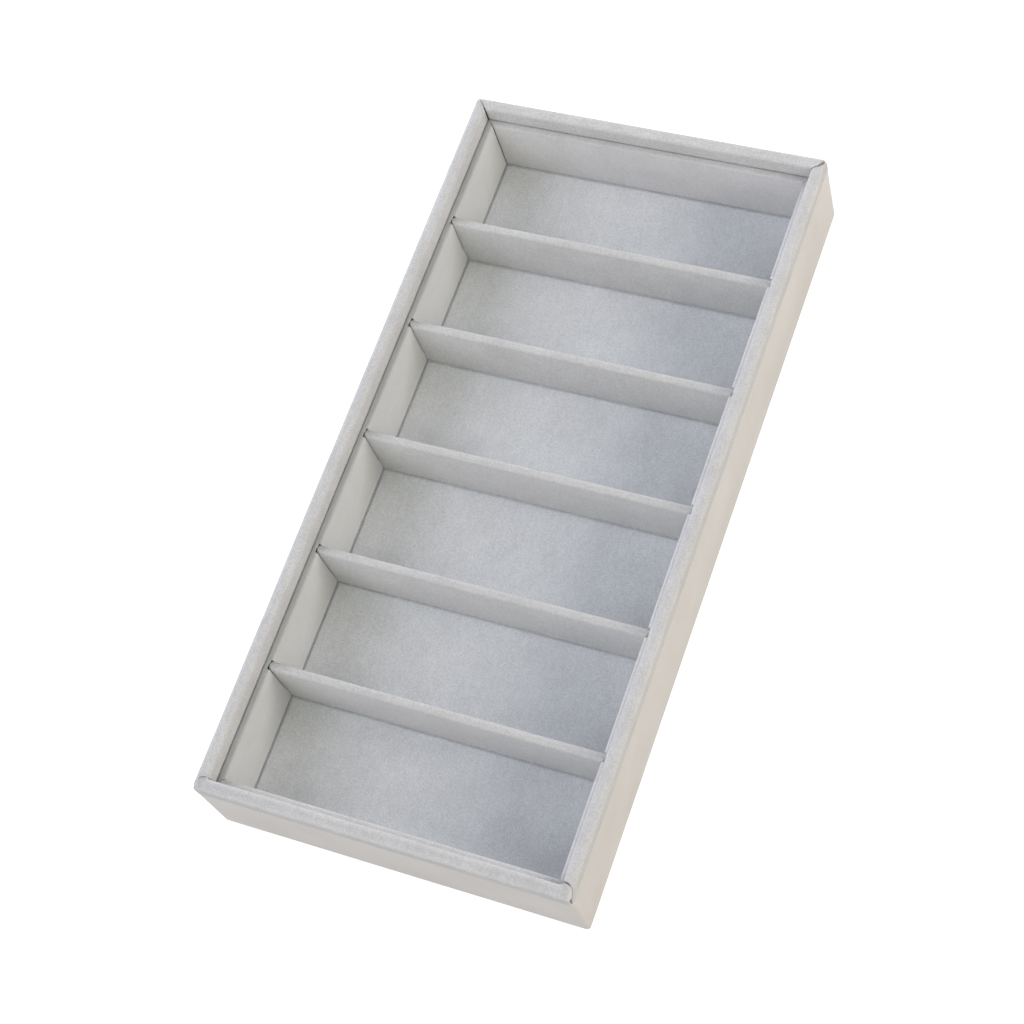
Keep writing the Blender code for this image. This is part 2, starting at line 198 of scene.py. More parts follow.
def flocked_velvet(name, dark, light, grain=1.0, fold=None):
    """Short grey pile: grain in colour, height and roughness, brushed patches, and sheen.

    A fold is a height and a painted shade, multiplied in from a little below that height up.
    """
    material, place = start_material(name)
    tufts = add(material, "TexNoise", spots(place, TUFT, detail=3.0, roughness=0.65)).outputs["Fac"]
    wide_spots = spots(place, BRUSHED_PATCH, detail=3.0, roughness=0.55)
    brushed = add(material, "TexNoise", wide_spots).outputs["Fac"]
    drawn = add(material, "Mapping", {"Vector": place, "Scale": STREAK_STRETCH}).outputs["Vector"]
    streaks = add(material, "TexNoise", spots(drawn, COMBED_STREAK)).outputs["Fac"]
    contrast = TUFT_SHARE * grain
    grain_range = stretched(tufts, *TUFT_MIDDLE, 0.5 - contrast, 0.5 + contrast)
    grains = add(material, "MapRange", grain_range).outputs[0]
    patch_range = stretched(brushed, *MIDDLE, -PATCH_SHARE, PATCH_SHARE)
    patches = add(material, "MapRange", patch_range).outputs[0]
    streak_range = stretched(streaks, *MIDDLE, -STREAK_SHARE, STREAK_SHARE)
    combed = add(material, "MapRange", streak_range).outputs[0]
    share = add(material, "Math", {0: grains, 1: patches}, operation="ADD").outputs[0]
    share = add(material, "Math", {0: share, 1: combed}, operation="ADD", use_clamp=True).outputs[0]
    swatches = {0: share, 6: linear(dark), 7: linear(light)}
    colour = add(material, "Mix", swatches, data_type="RGBA").outputs[2]
    # Painted shade: near and above the fold's height, the colour is multiplied by a darker shade.
    if fold:
        top, shade = fold
        height = add(material, "SeparateXYZ", {"Vector": place}).outputs["Z"]
        painted_shade_range = stretched(height, top - PAINTED_SHADE_STARTS, top - PAINTED_SHADE_IS_FULL)
        painted_shade_share = add(material, "MapRange", painted_shade_range).outputs[0]
        painted_shade_mix = {0: painted_shade_share, 6: colour, 7: linear(shade)}
        colour = add(material, "Mix", painted_shade_mix, data_type="RGBA", blend_type="MULTIPLY").outputs[2]
    roughness = add(material, "MapRange", stretched(tufts, *MIDDLE, *PILE_ROUGHNESS)).outputs[0]
    return close_material(
        material, colour, roughness, tufts, PILE_HEIGHT, 0.55 * grain,
        Sheen_Weight=0.6, Sheen_Roughness=0.32, Sheen_Tint=linear("#F7F6FA"),
        IOR=1.45, Specular_IOR_Level=0.22,
    )


# %% [markdown]
# ## Coated leatherette
# The outside wears paper-backed polyurethane leatherette, embossed with a grain so shallow that it
# looks smooth. Its coat gives a satin gloss. The real grain is near 0.2 mm, so it is drawn at
# 0.9 mm and very low, as a faint unevenness in the gloss and not as pebbles.

# %% Leatherette
COAT_GRAIN = 0.9 * MM
COAT_GRAIN_DEPTH = 0.03 * MM
COAT_DRIFT = 38 * MM
COAT_FLECK = 1.6 * MM
COAT_FLECK_SHARE = 0.16
COAT_ROUGHNESS = (0.46, 0.56)


def coated_leatherette(name, dark, light):
    """Smooth warm grey coat with a shallow grain and a slow drift in colour."""
    material, place = start_material(name)
    cells = {"Vector": place, "Scale": 1 / COAT_GRAIN, "Randomness": 0.9}
    pores = add(material, "TexVoronoi", cells, feature="SMOOTH_F1").outputs["Distance"]
    wide_spots = spots(place, COAT_DRIFT, detail=3.0, roughness=0.5)
    cloudy = add(material, "TexNoise", wide_spots).outputs["Fac"]
    fine = add(material, "TexNoise", spots(place, COAT_FLECK)).outputs["Fac"]
    drift = add(material, "MapRange", stretched(cloudy, *MIDDLE)).outputs[0]
    fleck_range = stretched(fine, *MIDDLE, -COAT_FLECK_SHARE, COAT_FLECK_SHARE)
    flecks = add(material, "MapRange", fleck_range).outputs[0]
    share = add(material, "Math", {0: drift, 1: flecks}, operation="ADD", use_clamp=True).outputs[0]
    swatches = {0: share, 6: linear(dark), 7: linear(light)}
    colour = add(material, "Mix", swatches, data_type="RGBA").outputs[2]
    roughness = add(material, "MapRange", stretched(fine, *MIDDLE, *COAT_ROUGHNESS)).outputs[0]
    return close_material(
        material, colour, roughness, pores, COAT_GRAIN_DEPTH, 0.35, IOR=1.5, Specular_IOR_Level=0.4,
    )


# %% [markdown]
# ## Greyboard and backing paper
# Greyboard is pressed from waste paper, so its grey is flecked with darker and lighter fibres a
# millimetre or two long. Backing paper is finer: short pale fibres in a warm grey sheet. Both are
# matte. A noise that is drawn out along one axis gives fibres, and two of them cross.

# %% Board and paper
FIBRE_ACROSS = (0.25, 1.6, 1.2)
FIBRE_ALONG = (1.6, 0.25, 1.2)
FIBRES_IN_A_CLOUD = 9
CLOUD_SHADE = 0.35
FLECK_RANGE = (0.42, 0.7)
SHINE_RANGE = (0.4, 0.7)
STOCK_ROUGHNESS = (0.95, 0.84)


def pressed_fibres(name, dark, light, fibre, depth):
    """Matte paper stock: crossed fibres over a cloudy ground."""
    material, place = start_material(name)
    crossed = []
    for stretch in (FIBRE_ACROSS, FIBRE_ALONG):
        drawn = add(material, "Mapping", {"Vector": place, "Scale": stretch}).outputs["Vector"]
        crossed.append(add(material, "TexNoise", spots(drawn, fibre)).outputs["Fac"])
    wide_spots = spots(place, FIBRES_IN_A_CLOUD * fibre, detail=3.0)
    ground = add(material, "TexNoise", wide_spots).outputs["Fac"]
    fibres = add(material, "Math", {0: crossed[0], 1: crossed[1]}, operation="MAXIMUM").outputs[0]
    share = add(material, "MapRange", stretched(fibres, *FLECK_RANGE)).outputs[0]
    swatches = {0: share, 6: linear(dark), 7: linear(light)}
    flecked = add(material, "Mix", swatches, data_type="RGBA").outputs[2]
    shade = add(material, "MapRange", stretched(ground, *MIDDLE, 0.0, CLOUD_SHADE)).outputs[0]
    clouded = {0: shade, 6: flecked, 7: linear(dark)}
    colour = add(material, "Mix", clouded, data_type="RGBA", blend_type="MULTIPLY").outputs[2]
    roughness = add(material, "MapRange", stretched(fibres, *SHINE_RANGE, *STOCK_ROUGHNESS)).outputs[0]
    return close_material(
        material, colour, roughness, fibres, depth, 0.5, IOR=1.5, Specular_IOR_Level=0.3,
    )


# %% [markdown]
# ## The set of finishes
# One bolt of velvet covers everything. Each use gets its own pair of swatches, close together, set
# lighter or darker for the light that its part gets, so the differences are painted light and shade.
# The left panel has half the grain, and the floor keeps the most. Most uses also get a height and a
# darker shade for their top: painted shade, darkest on the front strip, and on the left panel it is
# the rim's shadow painted on. On the rim and the dividers the height is lifted: only the crown is darker.

# %% Make the finishes
RIM_SHADE_LIFT = 0.35 * MM
DIVIDER_SHADE_LIFT = 0.5 * MM
# Painted shade on the tops: a height, and the shade that darkens the colour near and above it.
RIM_PAINTED_SHADE = (RIM_TOP + RIM_SHADE_LIFT, "#EDEDED")
FRONT_PAINTED_SHADE = (RIM_TOP + RIM_SHADE_LIFT, "#DFDFE0")
LEFT_PANEL_PAINTED_SHADOW = (LINER_TOP, "#DFDFE1")
BACK_PAINTED_SHADE = (LINER_TOP, "#E8E8E9")
DIVIDER_PAINTED_SHADE = (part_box("divider_velvet_1")[1].z + DIVIDER_SHADE_LIFT, "#E8E8E8")
# Each use's swatches are set lighter or darker for the light its part gets: painted light and shade.
RIM_VELVET = flocked_velvet("flocked_velvet_rim", "#B0AFAF", "#CDCDCC", fold=RIM_PAINTED_SHADE)
# The front strip: lighter swatches for its outer face, and the darkest painted shade on its top.
FRONT_RIM_SHADED_VELVET = flocked_velvet("flocked_velvet_front_rim", "#B4B3B3", "#D0D0CF", fold=FRONT_PAINTED_SHADE)
# The left panel: half the grain, and the rim's shadow painted on its top.
LEFT_PANEL_SHADED_VELVET = flocked_velvet("flocked_velvet_pressed", "#B9BAB8", "#C9CACA", 0.5, LEFT_PANEL_PAINTED_SHADOW)
LINER_VELVET = flocked_velvet("flocked_velvet_liner", "#B8B8B6", "#CFCFD0", grain=0.9)
# The back panel: its own swatches, and a painted shade on its top.
BACK_PANEL_SHADED_VELVET = flocked_velvet("flocked_velvet_back_liner", "#BAB9B8", "#D1D0D1", 0.9, BACK_PAINTED_SHADE)
DIVIDER_VELVET = flocked_velvet("flocked_velvet_dividers", "#AEADAD", "#C8C8C7", fold=DIVIDER_PAINTED_SHADE)
# The floor's swatches are lighter: painted light that makes up for the shade deep in the compartments.
FLOOR_VELVET = flocked_velvet("flocked_velvet_floor", "#C2C5C7", "#E1E4E7", grain=0.9)
COVER_COAT = coated_leatherette("coated_leatherette", "#C4BFBA", "#CCC8C4")
BOARD_FIBRE = {"fibre": 1.4 * MM, "depth": 0.06 * MM}
PAPER_FIBRE = {"fibre": 0.9 * MM, "depth": 0.03 * MM}
BOARD_STOCK = pressed_fibres("pressed_greyboard", "#857F7F", "#B0AAAA", **BOARD_FIBRE)
PAPER_STOCK = pressed_fibres("uncoated_backing_paper", "#B9B4AC", "#D2CEC7", **PAPER_FIBRE)
print("finishes:", [m.name for m in bpy.data.materials if m.node_tree and m.name[0].islower()])

# %% [markdown]
# ## Cloth as a thin solid
# A strip of cloth is drawn as a grid of points: rows run across it, columns along it. A second
# grid, one cloth thickness below, is its glued side. Joining the two round every open edge gives a
# closed solid with real thickness, which bends, folds and casts shadows as cloth does. Cells can be
# left out of the grid, which is how the liner gets its slots. Where the cloth turns by more than
# the sharp angle, as at its cut edges, the shading breaks.

# %% Make a solid from two grids
SHARP_ANGLE = math.radians(55)


def shell(name, outer, inner, material, keep=None, ring=False):
    """Join an outer and an inner grid of points into one closed thin solid."""
    rows, columns = outer.shape[:2]
    count = rows * columns
    index = np.arange(count).reshape(rows, columns)
    if ring:
        index = np.column_stack([index, index[:, 0]])
    quads = np.stack([index[:-1, :-1], index[:-1, 1:], index[1:, 1:], index[1:, :-1]], axis=-1)
    quads = quads.reshape(-1, 4) if keep is None else quads[keep]
    near = np.concatenate([quads[:, (i, (i + 1) % 4)] for i in range(4)])
    there = {tuple(edge) for edge in near.tolist()}
    rim = [(a, b) for a, b in there if (b, a) not in there]
    sides = [(b, a, a + count, b + count) for a, b in sorted(rim)]
    faces = quads.tolist() + (quads[:, ::-1] + count).tolist() + sides
    points = np.concatenate([outer.reshape(-1, 3), inner.reshape(-1, 3)])
    used = np.unique(np.array(faces))
    renumber = np.zeros(len(points), int)
    renumber[used] = np.arange(len(used))
    mesh = bpy.data.meshes.new(name)
    mesh.from_pydata(points[used].tolist(), [], renumber[np.array(faces)].tolist())
    mesh.materials.append(material)
    mesh.shade_smooth()
    mesh.set_sharp_from_angle(angle=SHARP_ANGLE)
    piece = bpy.data.objects.new(name, mesh)
    bpy.context.scene.collection.objects.link(piece)
    print(f"{name}: {len(faces)} faces")
    return piece


# %% [markdown]
# ## A sheet takes its place
# Each cloth stands for the plain solid of one node, which it hides, and rides on the tray with it.

# %% Put a sheet in its node's place


def dress(piece, node):
    """Let a sheet stand for a node: hide the node and attach the sheet to the tray's root body."""
    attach(piece, "root")
    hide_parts(node)


# %% [markdown]
# ## Sections
# Each strip has one section: a line of (inset, height) points, counted from the tray's outer face
# and from the table. Arcs make the folds. Afterwards the line is spaced out again, close together
# where it shows and wide apart where it is hidden, and its normal tells which way the cloth faces.

# %% Draw a section


def arc(centre, radius, start, end, steps=12):
    """Points on a round or oval fold, angles in degrees."""
    radius = np.broadcast_to(radius, 2)
    angles = np.radians(np.linspace(start, end, steps + 1))
    return [(centre[0] + radius[0] * math.cos(a), centre[1] + radius[1] * math.sin(a)) for a in angles]


def spaced(points, step, wide=None, below=None):
    """Space a line evenly, with a wider step where it runs below a height."""
    points = np.asarray(points, float)
    run = np.concatenate([[0], np.cumsum(np.linalg.norm(np.diff(points, axis=0), axis=1))])
    stops = [0.0]
    while stops[-1] < run[-1]:
        height = np.interp(stops[-1], run, points[:, 1])
        stops.append(stops[-1] + (wide if wide and height < below else step))
    stops = np.array(stops) * run[-1] / stops[-1]
    return np.column_stack([np.interp(stops, run, points[:, i]) for i in (0, 1)])


def section_normals(section):
    """Unit normals of a section, facing out of the cloth."""
    slope = np.gradient(section, axis=0)
    normals = np.column_stack([-slope[:, 1], slope[:, 0]])
    return normals / np.linalg.norm(normals, axis=1, keepdims=True)


def run_length(section):
    """How far along the cloth each point of a section lies."""
    return np.concatenate([[0], np.cumsum(np.linalg.norm(np.diff(section, axis=0), axis=1))])


# %% [markdown]
# ## Along the walls
# The four walls share one rule. A point has an inset from its wall's outer face, and a travel
# along the wall from its middle. The tray's corners are round, so where a point comes near the
# outer faces of two walls at once, it is drawn in towards the corner's centre. Square rows then
# become round ones without a change in how many points they have.

# %% Places along a wall
NEARLY_ZERO = 0.001 * MM
WALLS = {
    "front": ((1, 0), (0, -1), HALF_WIDTH, HALF_LENGTH),
    "back": ((1, 0), (0, 1), HALF_WIDTH, HALF_LENGTH),
    "left": ((0, 1), (-1, 0), HALF_LENGTH, HALF_WIDTH),
    "right": ((0, 1), (1, 0), HALF_LENGTH, HALF_WIDTH),
}


def on_wall(wall, inset, travel, height):
    """Points in the tray's frame from insets, travels and heights."""
    along, out, reach, depth = WALLS[wall]
    to_end = np.abs(travel) - reach + CORNER_RADIUS
    to_face = CORNER_RADIUS - inset
    farther = np.maximum(to_end, to_face) / np.maximum(np.hypot(to_end, to_face), NEARLY_ZERO)
    pull = np.where(np.minimum(to_end, to_face) > 0, farther, 1)
    run = np.sign(travel) * (reach - CORNER_RADIUS + to_end * pull)
    off = depth - CORNER_RADIUS + to_face * pull
    plan = run[..., None] * np.array(along) + off[..., None] * np.array(out)
    return np.concatenate([plan, np.broadcast_to(height, run.shape)[..., None]], axis=-1)


# %% [markdown]
# ## Columns
# Cloth needs few points along a straight wall and many where it ends, because there its edge is
# turned in. So the columns crowd together at both ends and beside each slot.

# %% Crowded columns
CROWD = np.array([0, 0.08, 0.17, 0.28, 0.42, 0.6, 0.85, 1.2, 1.7, 2.4, 3.4]) * MM
RIM_COLUMNS = 1.8 * MM
LINER_COLUMNS = 2.2 * MM
WIDE_COLUMNS = 2.4 * MM
SAME_PLACE_DIGITS = 7
SAME_PLACE = 1e-7


def columns(reach, step, stops=()):
    """Travels from minus reach to reach, crowded at the ends and on both sides of each stop."""
    places = [reach - CROWD, CROWD - reach]
    for stop in stops:
        places += [stop + CROWD, stop - CROWD]
    close = np.unique(np.concatenate(places).round(SAME_PLACE_DIGITS))
    close = close[np.abs(close) <= reach + SAME_PLACE]
    filled = [close[:1]]
    for near, far in zip(close[:-1], close[1:]):
        pieces = max(1, round((far - near) / step))
        filled.append(np.linspace(near, far, pieces + 1)[1:])
    return np.concatenate(filled)


print("columns along a side:", len(columns(HALF_LENGTH, RIM_COLUMNS)))

# %% [markdown]
# ## Hand-laid unevenness
# Glued cloth is never quite flat: glue lines, board fibres and the maker's fingers leave low
# swells. Noise with a real wavelength and a real depth moves the points along their normals. It is
# the same in every run, because it depends on the place alone. A swell is a depth and a wavelength.

# %% Swells
FINE_SWELL = (0.035 * MM, 5.5 * MM)
BROAD_SWELL = (0.07 * MM, 31 * MM)


def swell(points, depth, wavelength):
    """A smooth uneven height at each point."""
    flat = points.reshape(-1, 3) / wavelength
    heights = [noise.noise(Vector(place)) for place in flat]
    return depth * np.array(heights).reshape(points.shape[:-1])


def hand_laid(points):
    """Both swells together, as a hand leaves them in glued cloth."""
    return swell(points, *FINE_SWELL) + swell(points, *BROAD_SWELL)


# %% [markdown]
# ## Turned edges
# A maker turns each cut edge in, so that no thread shows. The turned edge is a small quarter round.
# How deep a point of it lies depends only on how far it is from the seam, measured in the cloth
# before it was folded.

# %% Turn an edge in
SHORTEST_SQUARED = 1e-14


def sink(distance, radius, deepest):
    """How far an edge turned in with this radius lies below the cloth, by distance from its end."""
    inside = np.clip(radius - distance, 0, radius)
    return np.minimum(radius - np.sqrt(radius ** 2 - inside ** 2), deepest)


def distance_to_line(points, line):
    """Least distance from each point to a line of points, all in the unrolled cloth."""
    start, end = line[:-1], line[1:]
    way = end - start
    length = np.maximum((way ** 2).sum(axis=1), SHORTEST_SQUARED)
    share = np.clip(((points[:, None] - start) * way).sum(axis=2) / length, 0, 1)
    nearest = start + share[..., None] * way
    return np.linalg.norm(points[:, None] - nearest, axis=2).min(axis=1)


# %% [markdown]
# ## A strip along a wall
# This is the workhorse. It runs a section along a wall between two seams, and each seam says for
# every row where the cloth ends. Columns near an end lean with the seam and straighten out over a
# few millimetres. Then the edge is turned in by its true distance to the seam, so a slanting or
# curved seam gets an even roll, and a swell makes the cloth look laid by hand.

# %% Columns and normals of a strip
SEAM_REACH = 15 * MM
SMALLEST_NORMAL = 1e-12


def smooth_step(share):
    """0 below 0, 1 above 1, and a smooth S between them."""
    share = np.clip(share, 0, 1)
    return share ** 2 * (3 - 2 * share)


def towards_end(distance):
    """1 at a strip's end, easing to 0 where the columns stand straight again."""
    return smooth_step(1 - distance / SEAM_REACH)


def outward_normals(grid):
    """Unit normals of a grid, on the side where its highest row faces up."""
    normals = np.cross(np.gradient(grid, axis=0), np.gradient(grid, axis=1))
    normals /= np.maximum(np.linalg.norm(normals, axis=-1, keepdims=True), SMALLEST_NORMAL)
    middle = grid.shape[1] // 2
    return normals * np.sign(normals[np.argmax(grid[:, middle, 2]), middle, 2])


# %% Lay a strip
EDGE_ROLL = 0.4 * MM
EDGE_DEEPEST = 0.45 * MM
EDGE_MARGIN = 2 * MM


def lay_strip(place, section, travels, ends, roll=EDGE_ROLL, deepest=EDGE_DEEPEST, relief=None):
    """Outer and inner grids of a strip between the travels in ends, two for each row."""
    reach = abs(travels[0])
    lows, highs = ends
    from_low, from_high = travels + reach, reach - travels
    travel = travels + (lows[:, None] + reach) * towards_end(from_low)
    travel = travel + (highs[:, None] - reach) * towards_end(from_high)
    inset, height = (np.broadcast_to(section[:, i, None], travel.shape) for i in (0, 1))
    run = run_length(section)
    unrolled = np.stack([np.broadcast_to(run[:, None], travel.shape), travel], axis=-1)
    sunk = np.zeros(travel.shape)
    edge_band = 4 * roll + EDGE_MARGIN
    for line, near in ((lows, from_low < edge_band), (highs, from_high < edge_band)):
        away = distance_to_line(unrolled[:, near].reshape(-1, 2), np.column_stack([run, line]))
        turned = sink(away, roll, deepest).reshape(sunk[:, near].shape)
        sunk[:, near] = np.maximum(sunk[:, near], turned)
    if relief is not None:
        sunk = np.maximum(sunk, relief(unrolled))
    laid = place(inset, travel, height)
    outward = outward_normals(laid)
    return laid + (hand_laid(laid) - sunk)[..., None] * outward, laid - CLOTH * outward


def mitred(wall, section, gap, bow=0.0, depth=RIM_DEPTH):
    """Where each row ends at a mitre that bows a little."""
    share = np.clip(section[:, 0] / depth, 0, 1)
    swing = gap + bow * np.sin(math.pi * share)
    return WALLS[wall][2] - section[:, 0] - math.sqrt(2) * swing


# %% [markdown]
# ## Rim
# Four velvet strips fold over the walls' top edges. The boards' edges are eased and the pile is
# soft, so the fold is a low dome and not a flat with two corners. At the back the strips meet in
# mitres. The left mitre bows, and the right one has been cut a little short and gapes.

# %% Section of the rim
RIM_OUTER_ROUND = 2.2 * MM
RIM_INNER_ROUND = 1.9 * MM
RIM_CROWN = 0.14 * MM
RIM_OUTER_FLAP = 6.9 * MM
FLAP_TUCK = 0.25 * MM
FLAP_TUCK_HEIGHT = 0.35 * MM
FLAP_INSET = 0.04 * MM
RIM_ROWS = {"step": 0.42 * MM, "wide": 2.2 * MM}
LOWEST_CLOSE_ROW = LINER_TOP - 3 * MM
rim_flap_bottom = RIM_TOP - RIM_OUTER_FLAP
crown_foot = RIM_TOP - RIM_CROWN
rim_fold = [(FLAP_TUCK, rim_flap_bottom), (FLAP_INSET, rim_flap_bottom + FLAP_TUCK_HEIGHT)]
rim_fold += arc((RIM_OUTER_ROUND, crown_foot - RIM_OUTER_ROUND), RIM_OUTER_ROUND, 180, 96)
rim_fold += [((RIM_OUTER_ROUND + RIM_DEPTH - RIM_INNER_ROUND) / 2, RIM_TOP)]
rim_fold += arc((RIM_DEPTH - RIM_INNER_ROUND, crown_foot - RIM_INNER_ROUND), RIM_INNER_ROUND, 84, 0)
rim_fold += [(RIM_DEPTH, RIM_FOOT)]
RIM_SECTION = spaced(rim_fold, **RIM_ROWS, below=LOWEST_CLOSE_ROW)
print("rim: rows", len(RIM_SECTION), "cloth", round(run_length(RIM_SECTION)[-1] / MM, 1), "mm wide")

# %% [markdown]
# ## Front corners of the rim
# At the front the maker lapped the cloth: the front strip covers both corners and ends in a
# rounded shoulder on top of the side strips. Seen from above, the seam leaves the inner corner,
# turns through a quarter oval and runs out beside the outer edge. Both strips take their ends
# from that one curve, half a gap to either side of it. The two hands cut the corners unlike: the
# right shoulder is larger and reaches the outer face.

# %% Seam curves at the front
LAPS = {
    "left": {"inset": 1.0 * MM, "straight": 2.9 * MM, "round": (3.8 * MM, 3.75 * MM)},
    "right": {"inset": 0.1 * MM, "straight": 2.7 * MM, "round": (5.6 * MM, 5.1 * MM)},
}
SEAM_POINTS = 12
SEAM_GAP = 0.14 * MM
SEAM_EASE = 0.9 * MM


def lap_curve(wall, shift):
    """The seam as insets from the side and from the front, moved away from the side strip."""
    inset, straight, (round_in, round_back) = LAPS[wall].values()
    share = np.linspace(0, 1, SEAM_POINTS)
    curve = [(inset * (2 * s - s * s), straight * s) for s in share]
    curve += arc((inset + round_in, straight), (round_in, round_back), 180, 90)[1:]
    curve += [(2 * RIM_DEPTH, straight + round_back)]
    return np.array(curve) + np.array([shift, -shift]) / math.sqrt(2)


def eased_rows(line, section):
    """Smooth a seam over a short stretch of cloth, so that it has no corner."""
    run = run_length(section)
    weight = np.clip(1 - np.abs(run[:, None] - run) / SEAM_EASE, 0, 1)
    return (weight @ line) / weight.sum(axis=1)


for wall in LAPS:
    seam = lap_curve(wall, 0) / MM
    print(wall, "seam starts at", seam[0].round(1), "and turns at", seam[SEAM_POINTS - 1].round(1), "mm")

# %% [markdown]
# ## Over and under the lap
# Down the outside the seam isn't straight either: the front strip's lower corner is snipped round,
# and the side strip's edge sweeps forward to the tray's corner as it goes down.

# %% Ends at the front seams
LAP_CORNER = 1.8 * MM
LAP_CORNER_SHARE = 0.8
LAP_SWEEP = 1.5


def under_lap(wall, section):
    """Ends of a side strip, whose upper part stops where the front strip lies over it."""
    side, front = lap_curve(wall, -SEAM_GAP / 2).T
    from_front = np.interp(section[:, 0], side, front)
    up = np.clip((section[:, 1] - section[0, 1]) / (RIM_OUTER_FLAP - RIM_OUTER_ROUND / 2), 0, 1)
    on_outside = (section[:, 0] < side[0] + LAPS[wall]["inset"]) & (section[:, 1] > rim_flap_bottom)
    from_front = np.where(on_outside, LAPS[wall]["straight"] * up ** LAP_SWEEP, from_front)
    return WALLS[wall][2] - eased_rows(from_front, section)


def over_lap(wall, section):
    """Ends of the front strip: past the shoulder at the side, or cut at the inner corner."""
    side, front = lap_curve(wall, SEAM_GAP / 2).T
    from_side = np.interp(RIM_FLAT[:, 0], front, side)
    from_side = np.where(RIM_FLAT[:, 0] > front[-1], RIM_DEPTH + SEAM_GAP, from_side)
    low = np.clip(1 - (section[:, 1] - section[0, 1]) / LAP_CORNER, 0, 1) * (section[:, 0] < CLOTH)
    return HALF_WIDTH - eased_rows(from_side, section) - LAP_CORNER_SHARE * LAP_CORNER * low ** 2


# %% [markdown]
# ## The open seam at the back right
# One mitre came out short. The back strip was cut flatter than the diagonal, and the side strip
# was cut to a round, so a lens of bare board shows between them in the corner's outer half. Close
# to the inner corner the two cuts meet again.

# %% Ends at the open seam
BACK_CUT_START = 1.0 * MM
BACK_CUT_SLOPE = 0.62
SIDE_CUT_START = (0.6 * MM, 0.8 * MM)
SIDE_CUT_ROUND = (3.6 * MM, 4.3 * MM)


def short_back_end(section):
    """The back strip's right end: a straight cut, and the corner itself on the inner face."""
    turn = RIM_DEPTH - RIM_INNER_ROUND
    cut = (BACK_CUT_START, BACK_CUT_START + BACK_CUT_SLOPE * turn, RIM_DEPTH + SEAM_GAP)
    return HALF_WIDTH - eased_rows(np.interp(section[:, 0], (0, turn, RIM_DEPTH), cut), section)


def round_side_end(section):
    """The right strip's back end: a quarter oval, and the corner itself on the inner face."""
    (start_in, start_back), (round_in, round_back) = SIDE_CUT_START, SIDE_CUT_ROUND
    curve = arc((start_in + round_in, start_back), (round_in, round_back), 180, 90)
    side, back = np.array([(0, start_back), *curve, (RIM_DEPTH, RIM_DEPTH + SEAM_GAP)]).T
    return HALF_LENGTH - eased_rows(np.interp(section[:, 0], side, back), section)


# %% [markdown]
# ## Over the corners
# On top of a corner the cloth also falls away over the neighbouring wall's shoulder. A smooth
# minimum of the two heights makes that hip without a hard line. The front strip has one more thing
# to do: past the inner corner it no longer turns down inside the wall, but lies flat on top of it.

# %% Places on the rim
HIP_SOFTNESS = 0.4 * MM
LAP_RISE = 0.22 * MM
inner_turn = np.argmax(RIM_SECTION[:, 0] > RIM_DEPTH - RIM_INNER_ROUND)
rim_run = run_length(RIM_SECTION)
flat_inset = RIM_SECTION[inner_turn, 0] + rim_run - rim_run[inner_turn]
past_turn = np.arange(len(RIM_SECTION)) >= inner_turn
RIM_FLAT = np.where(past_turn[:, None], np.column_stack([flat_inset, 0 * flat_inset + RIM_TOP]), RIM_SECTION)
rising = RIM_SECTION[np.argmin(RIM_SECTION[:, 0]):np.argmax(RIM_SECTION[:, 1]) + 1]
print("the cloth turns down inside after", round(rim_run[inner_turn] / MM, 1), "mm")

# %% Round a strip over its corners
LAP_STARTS = RIM_DEPTH + 0.6 * MM
LAP_EASE = 1.5 * MM
LAP_WIDTH = 1.3 * RIM_DEPTH
LAP_WIDTH_EASE = 1.2 * MM
HIP_CLIMB = 0.5


def on_rim(wall, inset, travel, height):
    """Points of a rim strip, which rounds off over the next wall's outer shoulder."""
    side = WALLS[wall][2] - np.abs(travel)
    if wall == "front":
        lies_flat = smooth_step((LAP_STARTS - side) / LAP_EASE)
        lies_flat = lies_flat * smooth_step((LAP_WIDTH - RIM_FLAT[:, 0, None]) / LAP_WIDTH_EASE)
        inset = inset + lies_flat * (RIM_FLAT[:, 0, None] - inset)
        height = height + lies_flat * (RIM_FLAT[:, 1, None] - height)
        high = smooth_step((height - RIM_TOP) / RIM_OUTER_ROUND + 1)
        height = height + LAP_RISE * high * smooth_step(1 - side / RIM_DEPTH)
    shoulder = np.interp(side, *rising.T) + HIP_CLIMB * np.clip(side - RIM_OUTER_ROUND, 0, None)
    mixed = np.clip(0.5 + 0.5 * (shoulder - height) / HIP_SOFTNESS, 0, 1)
    height = shoulder + (height - shoulder) * mixed - HIP_SOFTNESS * mixed * (1 - mixed)
    return on_wall(wall, inset, travel, height)


# %% [markdown]
# ## Cut and lay the rim strips
# At the back right the maker pulled the cloth tight towards the seam, which left fine pleats. They
# are real ridges here, a tenth of a millimetre high, that fade out within a few millimetres.

# %% The four rim strips
BACK_LEFT_BOW = 0.4 * MM
PLEAT_PITCH = 1.3 * MM
PLEAT_DEPTH = 0.11 * MM
PLEAT_FADE = 7 * MM
PLEAT_CENTRE = (HALF_WIDTH - RIM_DEPTH, HALF_LENGTH - 1 * MM)


def pleats(outer, inner, corner):
    """Ridges that fan out from a corner and fade with distance."""
    from_corner = outer[..., :2] - np.array(corner)
    distance = np.linalg.norm(from_corner, axis=-1)
    fan = np.arctan2(from_corner[..., 1], from_corner[..., 0]) * PLEAT_FADE / PLEAT_PITCH
    height = PLEAT_DEPTH * np.sin(2 * math.pi * fan) * np.clip(1 - distance / PLEAT_FADE, 0, 1)
    outward = (outer - inner) / np.linalg.norm(outer - inner, axis=-1, keepdims=True)
    return outer + height[..., None] * outward


